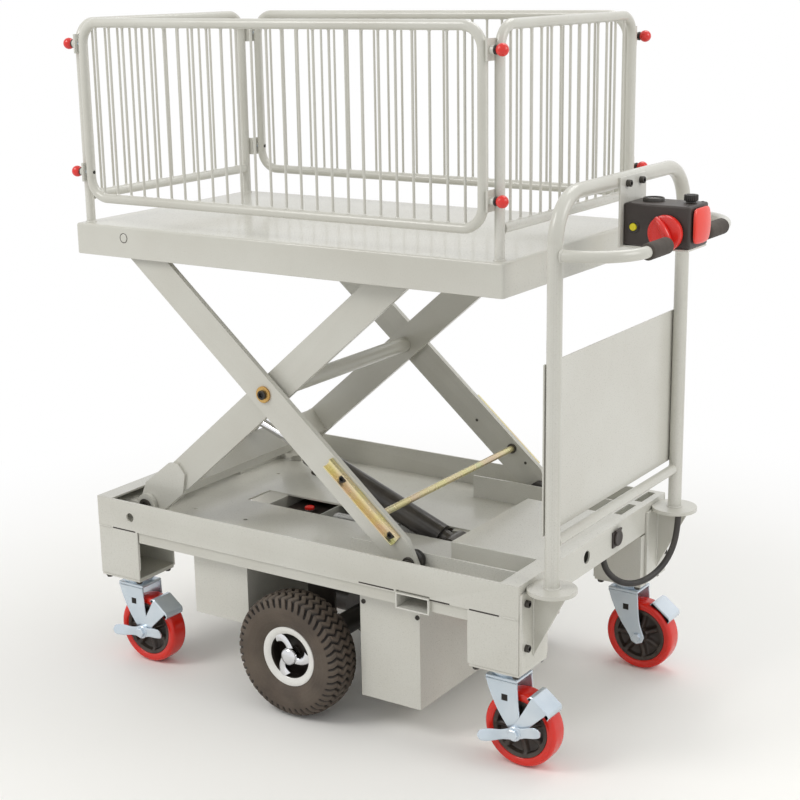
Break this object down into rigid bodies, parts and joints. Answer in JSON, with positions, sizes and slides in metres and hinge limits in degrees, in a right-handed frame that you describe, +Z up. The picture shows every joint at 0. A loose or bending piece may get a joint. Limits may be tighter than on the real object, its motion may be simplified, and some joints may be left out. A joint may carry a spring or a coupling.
{
  "type": "scissor lift table",
  "caption": "Powered scissor lift trolley with a fenced deck, push handle with control head, swivel casters and mid drive wheels.",
  "frame": {"origin": "on the floor under the middle of the overall outline", "axes": "+X towards the push handle, +Y to the far side away from the horn button, +Z up"},
  "size_m": [1.286, 0.7, 1.3825],
  "materials": {
    "grey_paint": "semi-gloss light grey powder coat",
    "dark_steel": "blackened screw heads",
    "bare_steel": "plain turned steel",
    "zinc": "bright zinc plate",
    "yellow_zinc": "yellow passivated zinc",
    "brass": "brass washer",
    "chrome": "hard chrome rod",
    "black_paint": "satin black paint",
    "black_plastic": "fine grained dark plastic",
    "foam": "closed cell foam",
    "cable_jacket": "soft black jacket",
    "tyre_rubber": "dusty dark brown rubber",
    "red_tread": "glossy red polyurethane",
    "white_rim": "white painted rim with a bright hub",
    "red_plastic": "smooth red plastic",
    "yellow_plastic": "smooth yellow plastic",
    "roller_nylon": "black nylon"
  },
  "bodies": {
    "chassis": {"side_rails": "grey_paint", "end_beams": "grey_paint", "corner_boxes": "grey_paint", "floor_plates": "grey_paint", "control_cover": "grey_paint", "equipment_boxes": "grey_paint", "battery_pack": "black_plastic", "power_pack": "bare_steel", "drive_unit": "black_paint", "handle_frame": "grey_paint", "foam_grips": "foam", "handle_feet": "grey_paint", "handle_panel": "grey_paint", "head_bracket": "grey_paint", "head_housing": "black_plastic", "battery_gauge": "black_plastic", "charge_socket": "black_plastic", "control_cable": "cable_jacket", "frame_screws": "dark_steel"},
    "inner_arms": {"inner_arms": "grey_paint"},
    "outer_arms": {"outer_arms": "grey_paint", "centre_bolts": "brass"},
    "lower_rollers": {"lower_rollers": "roller_nylon"},
    "upper_rollers": {"upper_rollers": "roller_nylon"},
    "safety_prop": {"safety_prop": "yellow_zinc"},
    "cylinder_barrel": {"cylinder_barrel": "black_paint"},
    "cylinder_rod": {"cylinder_rod": "chrome"},
    "deck": {"deck_plate": "grey_paint", "fence_ends": "grey_paint", "lower_plungers": "red_plastic"},
    "side_gate_near": {"side_gate_near": "grey_paint"},
    "side_gate_far": {"side_gate_far": "grey_paint"},
    "throttle": {"throttle_knobs": "red_plastic"},
    "horn_button": {"horn_button": "yellow_plastic"},
    "selector_knob": {"selector_knob": "black_plastic"},
    "e_stop": {"e_stop_pad": "red_plastic"},
    "drive_wheel_near": {"drive_tyre_near": "tyre_rubber", "drive_rim_near": "white_rim"},
    "drive_wheel_far": {"drive_tyre_far": "tyre_rubber", "drive_rim_far": "white_rim"},
    "caster_left_near": {"caster_fork_left_near": "zinc"},
    "brake_left_near": {"caster_brake_left_near": "zinc"},
    "wheel_left_near": {"caster_hub_left_near": "black_plastic", "caster_tread_left_near": "red_tread"},
    "plunger_left_near": {"plunger_left_near": "red_plastic"},
    "caster_left_far": {"caster_fork_left_far": "zinc"},
    "brake_left_far": {"caster_brake_left_far": "zinc"},
    "wheel_left_far": {"caster_hub_left_far": "black_plastic", "caster_tread_left_far": "red_tread"},
    "plunger_left_far": {"plunger_left_far": "red_plastic"},
    "caster_right_near": {"caster_fork_right_near": "zinc"},
    "brake_right_near": {"caster_brake_right_near": "zinc"},
    "wheel_right_near": {"caster_hub_right_near": "black_plastic", "caster_tread_right_near": "red_tread"},
    "plunger_right_near": {"plunger_right_near": "red_plastic"},
    "caster_right_far": {"caster_fork_right_far": "zinc"},
    "brake_right_far": {"caster_brake_right_far": "zinc"},
    "wheel_right_far": {"caster_hub_right_far": "black_plastic", "caster_tread_right_far": "red_tread"},
    "plunger_right_far": {"plunger_right_far": "red_plastic"}
  },
  "joints": [
    {"name": "lift", "type": "hinge", "parent": "chassis", "child": "inner_arms", "pos_m": [-0.51, 0, 0.359], "axis": [0, -1, 0], "range_deg": [-28.2, 7.3]},
    {"name": "scissor_centre", "type": "hinge", "parent": "inner_arms", "child": "outer_arms", "pos_m": [-0.1699, 0, 0.65153], "axis": [0, -1, 0], "range_deg": [-14.7, 56.5]},
    {"name": "deck_level", "type": "hinge", "parent": "outer_arms", "child": "deck", "pos_m": [-0.51, 0, 0.94406], "axis": [0, -1, 0], "range_deg": [-28.3, 7.4]},
    {"name": "barrel_swing", "type": "hinge", "parent": "chassis", "child": "cylinder_barrel", "pos_m": [0.108, 0, 0.3], "axis": [0, 1, 0], "range_deg": [-3.6, 1]},
    {"name": "rod_slide", "type": "slide", "parent": "cylinder_barrel", "child": "cylinder_rod", "axis": [-0.9315, 0, 0.3637], "range_m": [-0.0785, 0.0205]},
    {"name": "lower_roller_spin", "type": "hinge", "parent": "outer_arms", "child": "lower_rollers", "pos_m": [0.1702, 0, 0.359], "axis": [0, 1, 0], "continuous": true},
    {"name": "upper_roller_spin", "type": "hinge", "parent": "inner_arms", "child": "upper_rollers", "pos_m": [0.1702, 0, 0.94406], "axis": [0, 1, 0], "continuous": true},
    {"name": "safety_prop_swing", "type": "hinge", "parent": "outer_arms", "child": "safety_prop", "pos_m": [0.09624, 0, 0.44108], "axis": [0, -1, 0], "range_deg": [0, 30]},
    {"name": "throttle_turn", "type": "hinge", "parent": "chassis", "child": "throttle", "pos_m": [0.586, 0, 1], "axis": [0, 1, 0], "range_deg": [-35, 35], "stiffness_Nm_per_rad": 0.4},
    {"name": "horn_push", "type": "slide", "parent": "chassis", "child": "horn_button", "axis": [0, 1, 0], "range_m": [0, 0.003], "stiffness_N_per_m": 600},
    {"name": "selector_turn", "type": "hinge", "parent": "chassis", "child": "selector_knob", "pos_m": [0.608, 0.012, 1.05], "axis": [0, 0, 1], "range_deg": [-45, 45]},
    {"name": "stop_push", "type": "slide", "parent": "chassis", "child": "e_stop", "axis": [-1, 0, 0], "range_m": [0, 0.003], "stiffness_N_per_m": 1500},
    {"name": "side_gate_near_fold", "type": "hinge", "parent": "deck", "child": "side_gate_near", "pos_m": [-0.124, -0.285, 1.073], "axis": [1, 0, 0], "range_deg": [0, 160]},
    {"name": "drive_wheel_near_spin", "type": "hinge", "parent": "chassis", "child": "drive_wheel_near", "pos_m": [-0.082, -0.308, 0.13], "axis": [0, 1, 0], "continuous": true},
    {"name": "side_gate_far_fold", "type": "hinge", "parent": "deck", "child": "side_gate_far", "pos_m": [-0.124, 0.285, 1.073], "axis": [-1, 0, 0], "range_deg": [0, 160]},
    {"name": "drive_wheel_far_spin", "type": "hinge", "parent": "chassis", "child": "drive_wheel_far", "pos_m": [-0.082, 0.308, 0.13], "axis": [0, 1, 0], "continuous": true},
    {"name": "caster_left_near_swivel", "type": "hinge", "parent": "chassis", "child": "caster_left_near", "pos_m": [-0.548, -0.262, 0.19], "axis": [0, 0, 1], "continuous": true},
    {"name": "brake_left_near_turn", "type": "hinge", "parent": "caster_left_near", "child": "brake_left_near", "pos_m": [-0.512, -0.262, 0.0762], "axis": [0, 1, 0], "range_deg": [-8, 0]},
    {"name": "wheel_left_near_spin", "type": "hinge", "parent": "caster_left_near", "child": "wheel_left_near", "pos_m": [-0.512, -0.262, 0.0762], "axis": [0, 1, 0], "continuous": true},
    {"name": "plunger_left_near_pull", "type": "slide", "parent": "deck", "child": "plunger_left_near", "axis": [-1, 0, 0], "range_m": [0, 0.008], "stiffness_N_per_m": 400},
    {"name": "caster_left_far_swivel", "type": "hinge", "parent": "chassis", "child": "caster_left_far", "pos_m": [-0.548, 0.262, 0.19], "axis": [0, 0, 1], "continuous": true},
    {"name": "brake_left_far_turn", "type": "hinge", "parent": "caster_left_far", "child": "brake_left_far", "pos_m": [-0.512, 0.262, 0.0762], "axis": [0, 1, 0], "range_deg": [-8, 0]},
    {"name": "wheel_left_far_spin", "type": "hinge", "parent": "caster_left_far", "child": "wheel_left_far", "pos_m": [-0.512, 0.262, 0.0762], "axis": [0, 1, 0], "continuous": true},
    {"name": "plunger_left_far_pull", "type": "slide", "parent": "deck", "child": "plunger_left_far", "axis": [-1, 0, 0], "range_m": [0, 0.008], "stiffness_N_per_m": 400},
    {"name": "caster_right_near_swivel", "type": "hinge", "parent": "chassis", "child": "caster_right_near", "pos_m": [0.384, -0.262, 0.19], "axis": [0, 0, 1], "continuous": true},
    {"name": "brake_right_near_turn", "type": "hinge", "parent": "caster_right_near", "child": "brake_right_near", "pos_m": [0.42, -0.262, 0.0762], "axis": [0, 1, 0], "range_deg": [-8, 0]},
    {"name": "wheel_right_near_spin", "type": "hinge", "parent": "caster_right_near", "child": "wheel_right_near", "pos_m": [0.42, -0.262, 0.0762], "axis": [0, 1, 0], "continuous": true},
    {"name": "plunger_right_near_pull", "type": "slide", "parent": "deck", "child": "plunger_right_near", "axis": [1, 0, 0], "range_m": [0, 0.008], "stiffness_N_per_m": 400},
    {"name": "caster_right_far_swivel", "type": "hinge", "parent": "chassis", "child": "caster_right_far", "pos_m": [0.384, 0.262, 0.19], "axis": [0, 0, 1], "continuous": true},
    {"name": "brake_right_far_turn", "type": "hinge", "parent": "caster_right_far", "child": "brake_right_far", "pos_m": [0.42, 0.262, 0.0762], "axis": [0, 1, 0], "range_deg": [-8, 0]},
    {"name": "wheel_right_far_spin", "type": "hinge", "parent": "caster_right_far", "child": "wheel_right_far", "pos_m": [0.42, 0.262, 0.0762], "axis": [0, 1, 0], "continuous": true},
    {"name": "plunger_right_far_pull", "type": "slide", "parent": "deck", "child": "plunger_right_far", "axis": [1, 0, 0], "range_m": [0, 0.008], "stiffness_N_per_m": 400}
  ],
  "couplings": [
    {"joint": "scissor_centre", "follows": "lift", "ratio": -2},
    {"joint": "deck_level", "follows": "lift", "ratio": 1},
    {"joint": "barrel_swing", "follows": "lift", "ratio": 0.125},
    {"joint": "rod_slide", "follows": "lift", "m_per_rad": 0.15756}
  ]
}
